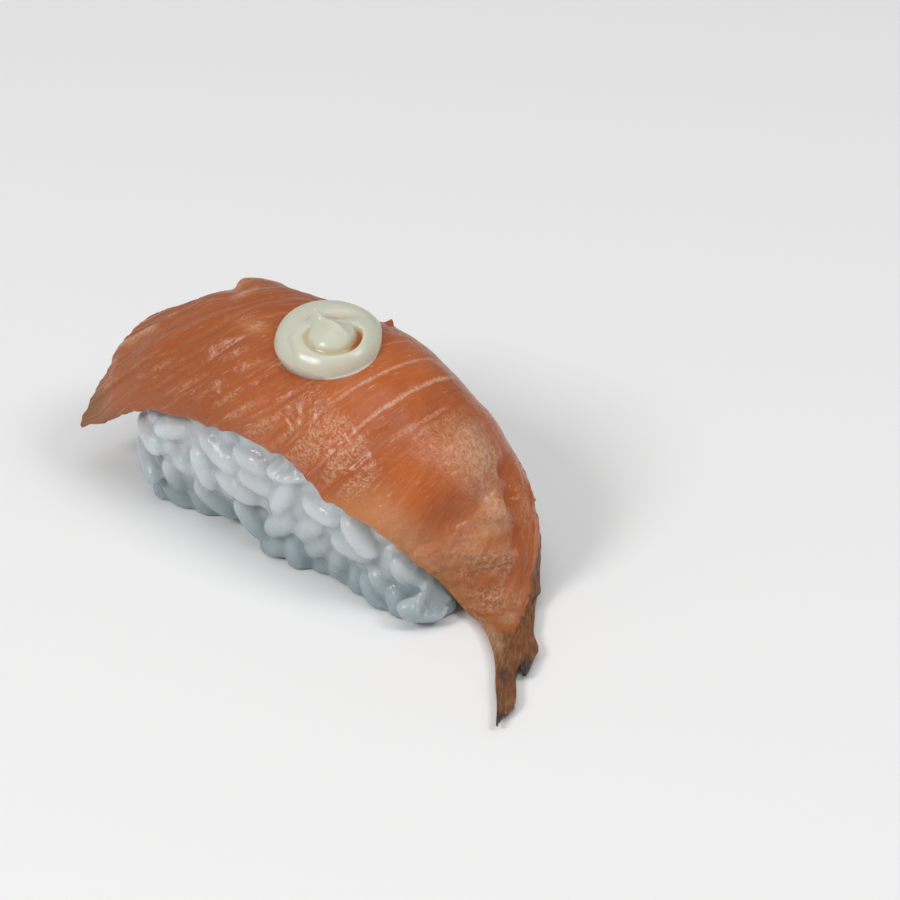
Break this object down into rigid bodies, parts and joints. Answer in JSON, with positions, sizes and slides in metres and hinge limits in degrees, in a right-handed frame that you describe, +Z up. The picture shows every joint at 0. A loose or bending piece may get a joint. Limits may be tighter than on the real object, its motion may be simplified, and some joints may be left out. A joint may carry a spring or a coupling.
{
  "type": "salmon nigiri",
  "caption": "Block of pressed sushi rice under a draped slice of raw salmon with a ragged tail, topped with a piped swirl of mayonnaise.",
  "frame": {"origin": "on the rice's flat underside, below the crown of the salmon slice", "axes": "+X along the slice towards its ragged tail, -Y towards the side where the tail turns, +Z up"},
  "size_m": [0.0795, 0.037, 0.034],
  "materials": {
    "rice": "moist, slightly translucent white",
    "salmon": "moist orange flesh with fine white lines and a brown tail",
    "mayonnaise": "glossy cream"
  },
  "bodies": {
    "root": {"rice": "rice", "salmon_slice": "salmon", "mayonnaise": "mayonnaise"}
  },
  "joints": []
}
